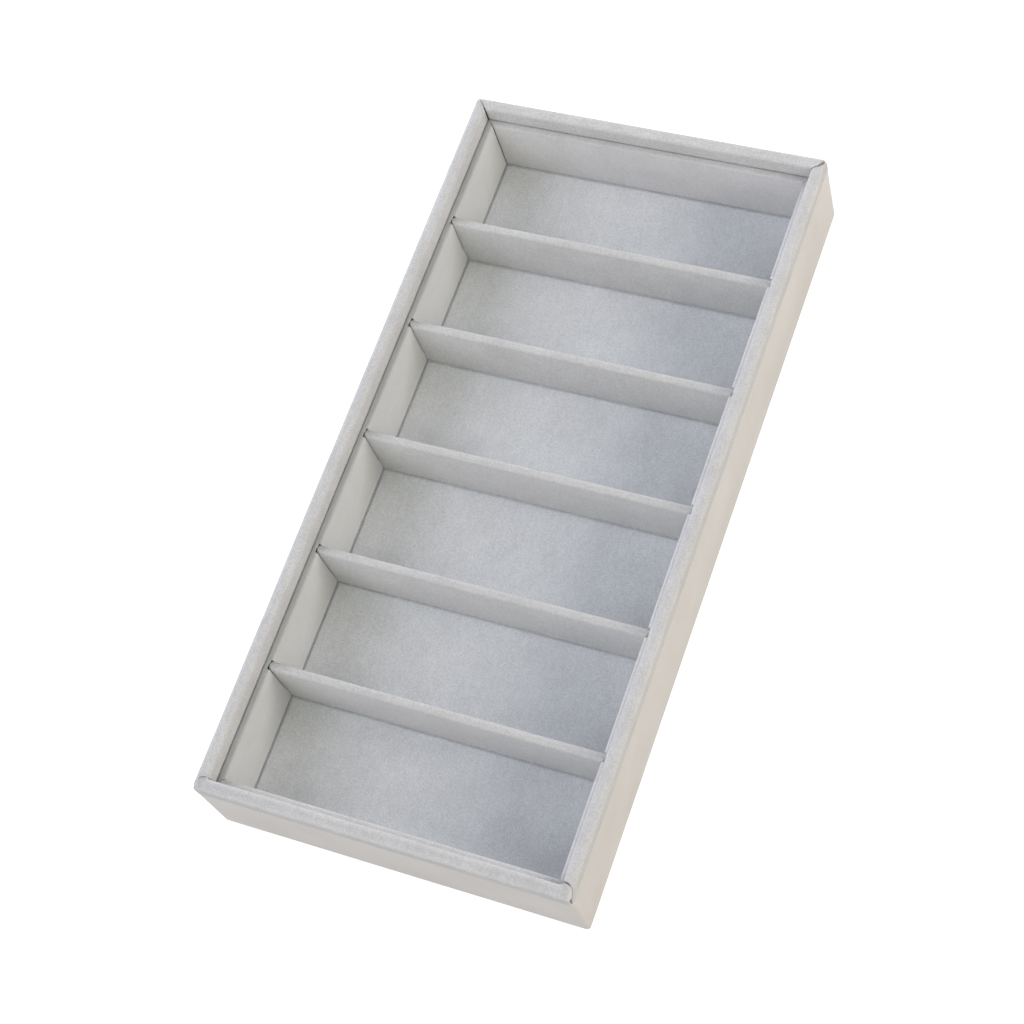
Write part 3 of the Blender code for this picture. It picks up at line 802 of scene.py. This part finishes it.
rim_seams = {
    "front": (over_lap("left", RIM_SECTION), over_lap("right", RIM_SECTION)),
    "back": (mitred("back", RIM_SECTION, SEAM_GAP, BACK_LEFT_BOW), short_back_end(RIM_SECTION)),
    "left": (under_lap("left", RIM_SECTION), mitred("left", RIM_SECTION, SEAM_GAP, -BACK_LEFT_BOW)),
    "right": (under_lap("right", RIM_SECTION), round_side_end(RIM_SECTION)),
}
for wall, (low_end, high_end) in rim_seams.items():
    travels = columns(WALLS[wall][2] - CORNER_RADIUS, RIM_COLUMNS)
    outer, inner = lay_strip(partial(on_rim, wall), RIM_SECTION, travels, (-low_end, high_end))
    if wall == "back":
        outer = pleats(outer, inner, PLEAT_CENTRE)
    piece = shell(wall + "_rim_cloth", outer, inner, FRONT_RIM_SHADED_VELVET if wall == "front" else RIM_VELVET)
    dress(piece, wall + "_rim_velvet")

# %% [markdown]
# ## Liner panels
# Inside each wall stands a card in velvet, lower than the rim by 8.4 mm. Its top is a small
# round fold with a dark crevice behind it. Towards the crevice the fold drops less than it does
# towards the compartment, because there the cloth is pressed between card and wall. The side
# panels have slots that take the dividers. A slot is a gap in the grid of cells, and the cloth
# turns in beside it as it does at a seam.

# %% Section of the liner
LINER_ROUND = 1.15 * MM
LINER_BACK_DROP = 0.6 * MM
LINER_RETURN = 8 * MM
LINER_FOOT_ROUND = 0.8 * MM
LINER_FOOT_STEPS = 4
LINER_FOOT_ROWS = 0.2 * MM
LINER_ROWS = {"step": 0.34 * MM, "wide": 1.7 * MM}
back_round = (LINER_ROUND, LINER_BACK_DROP)
foot_corner = (LINER_FACE - LINER_FOOT_ROUND, LINER_FOOT + LINER_FOOT_ROUND)
liner_foot = arc(foot_corner, LINER_FOOT_ROUND, 0, -70, LINER_FOOT_STEPS)
liner_fold = [(LINER_BACK, LINER_TOP - LINER_RETURN)]
liner_fold += arc((LINER_BACK + LINER_ROUND, LINER_TOP - LINER_BACK_DROP), back_round, 180, 90)
liner_fold += arc((LINER_FACE - LINER_ROUND, LINER_TOP - LINER_ROUND), LINER_ROUND, 90, 0)
liner_fold += liner_foot
LINER_SECTION = np.concatenate([
    spaced(liner_fold, **LINER_ROWS, below=LOWEST_CLOSE_ROW)[:-2],
    spaced(liner_foot, LINER_FOOT_ROWS),
])
print("liner: rows", len(LINER_SECTION), "cloth", round(run_length(LINER_SECTION)[-1] / MM, 1), "mm wide")

# %% [markdown]
# ## Slots and dividers belong together
# A divider's place and thickness come from its node's box. The slot is wider by a clearance on
# each side and by some play in front. Its front half is also cut a little deeper into the fold,
# and a small dark spot shows there at each divider's end. Below, the slot ends at a sill 8 mm above
# the floor cloth.

# %% Places of the dividers
SLOT_CLEARANCE = 0.05 * MM
SLOT_PLAY = 0.25 * MM
SLOT_SLIP = 0.4 * MM
SLOT_BACK = LINER_BACK + 2.12 * MM
SLOT_SILL = LINER_FOOT + 8 * MM
FACE_MARGIN = 0.1 * MM
DIVIDERS = []
for number in range(1, 6):
    low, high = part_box(f"divider_velvet_{number}")
    middle = (low.y + high.y) / 2
    slot = middle - SLOT_PLAY / 2
    DIVIDERS.append({"number": number, "place": middle, "slot": slot, "low": low, "high": high})
divider_half = (DIVIDERS[0]["high"].y - DIVIDERS[0]["low"].y) / 2
slot_half = divider_half + SLOT_CLEARANCE + SLOT_PLAY / 2
slot_edges = [d["slot"] + side * slot_half for d in DIVIDERS for side in (-1, 1)]
liner_run = run_length(LINER_SECTION)
on_face = LINER_SECTION[:, 0] > LINER_FACE - FACE_MARGIN
sill_run = float(np.interp(-SLOT_SILL, -LINER_SECTION[on_face, 1], liner_run[on_face]))
back_run, slip_run = (
    float(liner_run[np.argmax(LINER_SECTION[:, 0] > depth)]) for depth in (SLOT_BACK, SLOT_BACK - SLOT_SLIP)
)
print("slots at", [round(d["place"] / MM, 1) for d in DIVIDERS], "mm, sill", round(SLOT_SILL / MM, 1))

# %% [markdown]
# ## Slotting a panel
# Two rules make a slot. Cells whose middle lies inside it are left out of the grid, and the cloth
# around it is turned in, by its distance to the slot in the unrolled cloth.

# %% Cut and turn the slots
SLOT_TURN = 0.35 * MM
FAR_AWAY = 1.0


def beside_slots(unrolled):
    """The cloth turns in all round each slot."""
    nearest = np.full(unrolled.shape[:2], FAR_AWAY)
    for divider in DIVIDERS:
        beside = np.clip(np.abs(unrolled[..., 1] - divider["slot"]) - slot_half, 0, None)
        past = np.clip(np.maximum(unrolled[..., 0] - sill_run, back_run - unrolled[..., 0]), 0, None)
        nearest = np.minimum(nearest, np.hypot(beside, past))
    return sink(nearest, SLOT_TURN, SLOT_TURN)


def near_any(travel, offset, reach):
    """Whether each travel is within reach of any slot's middle, moved by an offset."""
    return np.any([np.abs(travel - d["slot"] + offset) < reach for d in DIVIDERS], axis=0)


def outside_slots(travels):
    """Which cells of a side panel's grid stay."""
    middle_run = ((liner_run[:-1] + liner_run[1:]) / 2)[:, None]
    middle_travel = (travels[:-1] + travels[1:]) / 2
    in_slot = near_any(middle_travel, 0, slot_half)
    in_front = near_any(middle_travel, slot_half / 2, slot_half / 2)
    starts = np.where(in_front, slip_run, np.where(in_slot, back_run, np.inf))
    return ~((middle_run < sill_run) & (middle_run > starts))


# %% Lay the liner panels
LINER_GAP = 0.06 * MM
LINER_ROLL = 0.25 * MM
liner_finishes = {"left": LEFT_PANEL_SHADED_VELVET, "back": BACK_PANEL_SHADED_VELVET}
for wall in WALLS:
    slotted = wall in ("left", "right")
    travels = columns(WALLS[wall][2] - LINER_FACE, LINER_COLUMNS, slot_edges if slotted else ())
    end = mitred(wall, LINER_SECTION, LINER_GAP, depth=LINER_FACE)
    outer, inner = lay_strip(
        partial(on_wall, wall), LINER_SECTION, travels, (-end, end),
        roll=LINER_ROLL, deepest=LINER_ROLL, relief=beside_slots if slotted else None,
    )
    keep = outside_slots(travels) if slotted else None
    finish = liner_finishes.get(wall, LINER_VELVET)
    piece = shell(wall + "_liner_cloth", outer, inner, finish, keep)
    dress(piece, wall + "_liner_velvet")

# %% [markdown]
# ## Dividers
# Each divider is a card in a velvet sleeve with a full round top. First comes its section: up the
# front face, over the top and down the back, with a small round at each foot. Rows lie close
# together near the top, which shows most.

# %% Section of a sleeve
SLEEVE_FOOT_ROUND = 0.75 * MM
SLEEVE_FOOT_STEPS = 4
SLEEVE_TOP_STEPS = 24
SLEEVE_ROWS = {"step": 0.36 * MM, "wide": 1.9 * MM}
SLEEVE_CLOSE_ROWS = 9 * MM


def sleeve_section(low, high):
    """A sleeve's section, as distances from the divider's middle and heights."""
    half = (high.y - low.y) / 2
    centre = (-half + SLEEVE_FOOT_ROUND, low.z + SLEEVE_FOOT_ROUND)
    front = arc(centre, SLEEVE_FOOT_ROUND, 250, 180, SLEEVE_FOOT_STEPS)
    back = [(-y, z) for y, z in front[::-1]]
    line = front + arc((0, high.z - half), half, 180, 0, SLEEVE_TOP_STEPS) + back
    rows = spaced(line, **SLEEVE_ROWS, below=high.z - SLEEVE_CLOSE_ROWS)
    return np.concatenate([front[:-1], rows[2:-2], back[1:]])


print("a sleeve's rows:", len(sleeve_section(DIVIDERS[0]["low"], DIVIDERS[0]["high"])))

# %% [markdown]
# ## Ends of the dividers
# The card's upper corners are eased so that it slips into its slots, and the cloth is folded round
# both ends like a sock. The nose of that fold is pinched on its front side, which leaves a small
# dark notch where we look down into the slot. Below the sill the divider is shorter, because
# there it ends at the panel's face.

# %% Sleeve of a divider
EASE_LENGTH = 1.1 * MM
EASE_DROP = 0.3 * MM
EASE_FADE = 14 * MM
NOSE_LENGTH = 0.45 * MM
NOSE_SHARE = 0.94
STEP_DEPTH = 1.45 * MM
STEP_TOP = SLOT_SILL + 0.6 * MM
STEP_HEIGHT = 1.2 * MM
STEP_SHARPNESS = 24
LEAST_THICKNESS = 0.1 * MM


def sleeve(divider):
    """Outer and inner grids of a sleeve, and how far its cloth goes round."""
    place, low, high = divider["place"], divider["low"], divider["high"]
    section = sleeve_section(low, high)
    under = section - CLOTH * section_normals(section)
    travels = columns(high.x, WIDE_COLUMNS)
    step = STEP_DEPTH * np.clip((STEP_TOP - section[:, 1]) / STEP_HEIGHT, 0, 1)
    share = np.clip(np.abs(travels) / high.x, 0, 1) ** STEP_SHARPNESS
    x = travels[None, :] - np.sign(travels) * share * step[:, None]
    from_end = high.x - np.abs(travels)
    inside = np.clip(1 - from_end / EASE_LENGTH, 0, 1)
    drop = EASE_DROP * (1 - np.sqrt(1 - inside ** 2))
    pinch = np.clip(1 - from_end / NOSE_LENGTH, 0, 1)
    nose = 1 - np.maximum(np.sqrt(1 - pinch ** 2), NOSE_SHARE)
    grids = []
    for line, cloth in ((section, 0), (under, CLOTH)):
        lower = np.clip((line[:, 1] - (high.z - EASE_FADE)) / EASE_FADE, 0, 1)
        z = line[:, 1, None] - drop * lower[:, None]
        above_sill = np.clip((line[:, 1] - SLOT_SILL) / MM, 0, 1)
        pinched = above_sill * (line[:, 0] < 0)
        y = line[:, 0, None] * (1 - nose * pinched[:, None]) + place
        pulled_in = cloth * np.sign(travels) * (from_end < NOSE_LENGTH) * (1 - from_end / NOSE_LENGTH)
        grids.append(np.stack([x - pulled_in, y, z], axis=-1))
    outer, inner = grids
    outward = outer - inner
    outward /= np.maximum(np.linalg.norm(outward, axis=-1, keepdims=True), LEAST_THICKNESS)
    lift = hand_laid(outer) * np.clip(from_end / NOSE_LENGTH, 0, 1)
    return outer + lift[..., None] * outward, inner, float(run_length(section)[-1])


for divider in DIVIDERS:
    number = divider["number"]
    outer, inner, girth = sleeve(divider)
    piece = shell(f"divider_sleeve_{number}", outer, inner, DIVIDER_VELVET)
    dress(piece, f"divider_velvet_{number}")

# %% [markdown]
# ## Floor
# One sheet of velvet lies glued on the base board, under the dividers and the liners. The feet
# press it down, so a fine dark crease runs along each foot. The crease is geometry here: the sheet
# dips by 0.4 mm, steeply at the foot and softly away from it, and its points crowd where it does.

# %% Creases in the floor
CREASE_DEPTH = 0.4 * MM
CREASE_WIDTH = 1.0 * MM
CREASE_STEEPNESS = 1.5


def crease(distance):
    """How deep the cloth is pressed at a distance from a foot, and all the way under the foot."""
    share = np.clip(1 - np.clip(distance, 0, None) / CREASE_WIDTH, 0, 1)
    return CREASE_DEPTH * share ** CREASE_STEEPNESS


wall_x = HALF_WIDTH - LINER_FACE
wall_y = HALF_LENGTH - LINER_FACE
feet = [d["place"] + side * divider_half for d in DIVIDERS for side in (-1, 1)]
across = columns(floor_high.x, WIDE_COLUMNS, (-wall_x, wall_x))
along = columns(floor_high.y, WIDE_COLUMNS, [-wall_y, wall_y, *feet])
x, y = np.meshgrid(across, along, indexing="ij")
pressed = np.maximum(crease(wall_x - np.abs(x)), crease(wall_y - np.abs(y)))
for divider in DIVIDERS:
    pressed = np.maximum(pressed, crease(np.abs(y - divider["place"]) - divider_half))
print("floor:", x.shape, "points, pressed", round(pressed.max() / MM, 2), "mm deep")

# %% Floor cloth
FLOOR_CLOTH = 0.72 * MM
FLOOR_SWELL_LIMIT = 0.12 * MM
bottom = np.stack([x, y, np.full(x.shape, FLOOR_TOP - FLOOR_CLOTH)], axis=-1)
top = bottom + np.array([0, 0, FLOOR_CLOTH])
top[..., 2] += np.clip(hand_laid(top), -FLOOR_SWELL_LIMIT, FLOOR_SWELL_LIMIT) - pressed
piece = shell("floor_cloth", top, bottom, FLOOR_VELVET)
dress(piece, "floor_velvet")

# %% [markdown]
# ## Outer cover
# The leatherette is one strip. Its upper edge is turned in, which makes a slim bead that catches
# the light just under the velvet, and its lower edge wraps under the base as a hem. The strip
# bends round the four corners with the same 2 mm radius as the boards.

# %% Section of the cover
COVER_BEAD = 0.5 * MM
COVER_TURN_IN = CLOTH + 0.1 * MM
BEAD_DROP = 0.02 * MM
BEAD_FOOT_INSET = 0.02 * MM
BEAD_BLEND = 1.0 * MM
COVER_WALL_INSET = 0.12 * MM
COVER_FOOT_ROUND = 1.2 * MM
COVER_HEM = 14 * MM
COVER_THICKNESS = 0.45 * MM
bead_low = cover_high.z - 2 * COVER_BEAD
cover_line = [(COVER_TURN_IN, cover_high.z - BEAD_DROP)]
cover_line += arc((COVER_BEAD, cover_high.z - COVER_BEAD), COVER_BEAD, 95, 180, 8)
cover_line += [(BEAD_FOOT_INSET, bead_low), (COVER_WALL_INSET, bead_low - BEAD_BLEND)]
foot_centre = (COVER_WALL_INSET + COVER_FOOT_ROUND, cover_low.z + COVER_FOOT_ROUND)
cover_line += arc(foot_centre, COVER_FOOT_ROUND, 180, 270, 10)
cover_line += [(COVER_HEM, cover_low.z)]

# %% [markdown]
# ## Fewer rows on the flat
# Between the bead and the foot the cover is flat, so five rows in six are left out there, and the
# hidden hem needs only a few.

# %% Rows of the cover
COVER_ROWS = 0.3 * MM
FLAT_STARTS = bead_low - 1.2 * MM
FLAT_ENDS = foot_centre[1] + 0.3 * MM
KEPT_EACH = 6
HEM_ROWS = 8
visible = spaced(cover_line[:-1], COVER_ROWS)
flat_wall = (visible[:, 1] < FLAT_STARTS) & (visible[:, 1] > FLAT_ENDS)
thinned = ~flat_wall | (np.arange(len(visible)) % KEPT_EACH == 0)
hem = np.linspace(visible[-1], cover_line[-1], HEM_ROWS)[1:]
COVER_SECTION = np.concatenate([visible[thinned], hem])
under_cover = COVER_SECTION + COVER_THICKNESS * section_normals(COVER_SECTION)
print("cover:", len(COVER_SECTION), "rows, cloth", round(run_length(COVER_SECTION)[-1] / MM, 1), "mm wide")

# %% Cover ring
COVER_SWELL_SHARE = 0.5
COVER_SETTLE = 0.035 * MM
FLAT_UNDERSIDE = 0.5 * MM


def round_the_tray(section):
    """Run a section once round all four walls, as one closed ring."""
    turns = []
    for wall, sign in (("front", 1), ("right", 1), ("back", -1), ("left", -1)):
        reach = WALLS[wall][2]
        shares = columns(reach, WIDE_COLUMNS) / reach
        insets = section[:, 0, None]
        travel = sign * shares[None, :] * (reach - insets)
        height = np.broadcast_to(section[:, 1, None], travel.shape)
        turns.append(on_wall(wall, np.broadcast_to(insets, travel.shape), travel, height)[:, :-1])
    return np.concatenate(turns, axis=1)


outer, inner = round_the_tray(COVER_SECTION), round_the_tray(under_cover)
outward = (outer - inner) / np.linalg.norm(outer - inner, axis=-1, keepdims=True)
lift = COVER_SWELL_SHARE * swell(outer, *BROAD_SWELL) - COVER_SETTLE
hidden = outer[..., 2] < cover_low.z + FLAT_UNDERSIDE
outer = outer + np.where(hidden, 0, lift)[..., None] * outward
piece = shell("cover_strip", outer, inner, COVER_COAT, ring=True)
dress(piece, "outer_cover")

# %% [markdown]
# ## Boards, cards and paper
# The boards, the cards and the sheet under the tray keep the frame's shape: they are plain stock,
# cut straight. They only need their finish. Little of them shows: the greyboard peeps out of the
# gaping seam and the slots, and the paper is seen from below.

# %% Finish what the frame made
for name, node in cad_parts.items():
    if "board" in name or "card" in name or name == "underside_sheet":
        stock = PAPER_STOCK if name == "underside_sheet" else BOARD_STOCK
        node.data.materials.clear()
        node.data.materials.append(stock)
print("finished:", sum(1 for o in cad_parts.values() if not o.hide_render), "nodes of the frame")

# %% [markdown]
# ## Floor of the studio
# The tray stands on white paper. The camera should see plain white there, with only a breath of
# shadow at the foot, while the tray should receive ordinary bounced light. Light Path tells the
# two apart: for the camera the floor adds a glow to its own shade, for all other rays it is matte.

# %% White studio paper
PAPER_GLOW = 0.86


def seen_directly(material):
    """1 for rays from the camera, and for mirrored or passed rays that must show the same white."""
    path = add(material, "LightPath").outputs
    mirrored = {0: path["Is Glossy Ray"], 1: path["Is Transmission Ray"]}
    either = add(material, "Math", mirrored, operation="MAXIMUM").outputs[0]
    return add(material, "Math", {0: path["Is Camera Ray"], 1: either}, operation="MAXIMUM").outputs[0]


paper = bpy.data.materials.new("white_studio_paper")
paper.use_nodes = True
paper.node_tree.nodes.clear()
matte = add(paper, "BsdfDiffuse", {"Color": linear("#A6A5A3")}).outputs["BSDF"]
faint = add(paper, "BsdfDiffuse", {"Color": linear("#8E8E8E")}).outputs["BSDF"]
glow = add(paper, "Emission", {"Color": linear("#FFFFFF"), "Strength": PAPER_GLOW}).outputs["Emission"]
bright = add(paper, "AddShader", {0: faint, 1: glow}).outputs[0]
shown = add(paper, "MixShader", {0: seen_directly(paper), 1: matte, 2: bright}).outputs[0]
add(paper, "OutputMaterial", {"Surface": shown})
print("studio paper:", len(paper.node_tree.nodes), "nodes")

# %% Studio floor
FLOOR_SIZE = 6.0
FLOOR_DROP = 0.1 * MM
floor_mesh = bpy.data.meshes.new("studio_floor")
half = FLOOR_SIZE / 2
corners = [(sx * half, sy * half, -FLOOR_DROP) for sx, sy in ((-1, -1), (1, -1), (1, 1), (-1, 1))]
floor_mesh.from_pydata(corners, [], [(0, 1, 2, 3)])
floor_mesh.materials.append(paper)
studio_floor = bpy.data.objects.new("studio_floor", floor_mesh)
bpy.context.scene.collection.objects.link(studio_floor)

# %% [markdown]
# ## Light
# Large softboxes stand all round the table, lower than one would think: velvet shows its pile
# when light comes across it. The one behind on the left grazes every fold that turns away from
# us, which draws the fine bright lines along the dividers and the rim, and it leaves the left
# panel's top in the rim's shadow. A warm one on the right lights the cover's long side. The three
# in front fill the faces that look at us, and the high one of them reaches down to the floor. One on
# the left and one at the back right even out the rest. The world adds only a breath, so that no slot
# goes black, and shows plain white to the camera.

# %% World
WORLD_LIGHT = 0.02
world = bpy.data.worlds.new("white_studio")
bpy.context.scene.world = world
world.use_nodes = True
world.node_tree.nodes.clear()
even = add(world, "Background", {"Color": linear("#FBFBFC"), "Strength": WORLD_LIGHT}).outputs[0]
white = add(world, "Background", {"Color": linear("#FFFFFF"), "Strength": 1.0}).outputs[0]
sky = add(world, "MixShader", {0: seen_directly(world), 1: even, 2: white}).outputs[0]
add(world, "OutputWorld", {"Surface": sky})
print("world light", WORLD_LIGHT)

# %% [markdown]
# ## Softboxes
# Each softbox stands at a turn from the tray's right side and a rise above the table, both in
# degrees, at a distance in metres, with a power in watts and a tint. The farther it stands the
# larger it is, so that all of them are alike in softness.

# %% Set up the softboxes
SOFTBOX_SPREAD = 0.5625
SOFTBOXES = {
    "back_left_softbox": (135, 22, 1.6, 19.7, "#F9F8FF"),
    "left_softbox": (180, 45, 2.0, 12.0, "#F2F4FF"),
    "front_left_softbox": (225, 40, 2.8, 20.0, "#EBE7FF"),
    "low_front_softbox": (270, 22, 2.8, 25.8, "#FCFFFE"),
    "high_front_softbox": (270, 50, 2.8, 16.5, "#F9FFF2"),
    "warm_side_softbox": (0, 26, 1.6, 17.2, "#FFF6EC"),
    "back_right_softbox": (45, 40, 1.6, 8.2, "#F6FCFF"),
}


def softbox(name, turn, rise, distance, power, colour):
    """A square area lamp that faces the tray's middle, placed by two angles and a distance."""
    data = bpy.data.lights.new(name, "AREA")
    data.shape = "SQUARE"
    data.size = SOFTBOX_SPREAD * distance
    data.energy = power
    data.color = linear(colour)[:3]
    turn, rise = math.radians(turn), math.radians(rise)
    across = math.cos(rise)
    place = distance * Vector((across * math.cos(turn), across * math.sin(turn), math.sin(rise)))
    lamp = bpy.data.objects.new(name, data)
    lamp.location = place
    lamp.rotation_euler = place.to_track_quat("Z", "Y").to_euler()
    bpy.context.scene.collection.objects.link(lamp)
    print(f"{name}: {data.size:.2f} m wide")


for name, settings in SOFTBOXES.items():
    softbox(name, *settings)

# %% [markdown]
# ## Camera
# The camera stands in front on the right and looks steeply down, turned a little in the hand. Its
# place, lens and roll were solved from the tray's own edges in the photograph, so the render can
# be laid over it.

# %% Camera
LENS = 79.193
SENSOR_WIDTH = 36
NEAREST_VIEW = 0.05
CAMERA_PLACE = (0.33405, -0.36841, 0.94267)
CAMERA_TURN = (25.4674, 12.0925, 19.9565)
camera_data = bpy.data.cameras.new("camera")
camera_data.lens = LENS
camera_data.sensor_width = SENSOR_WIDTH
camera_data.clip_start = NEAREST_VIEW
camera = bpy.data.objects.new("camera", camera_data)
camera.location = CAMERA_PLACE
camera.rotation_euler = [math.radians(angle) for angle in CAMERA_TURN]
bpy.context.scene.collection.objects.link(camera)
bpy.context.scene.camera = camera
bpy.context.scene.view_settings.view_transform = "Standard"
print(f"camera {camera.location.length:.3f} m from the origin, lens {LENS} mm")
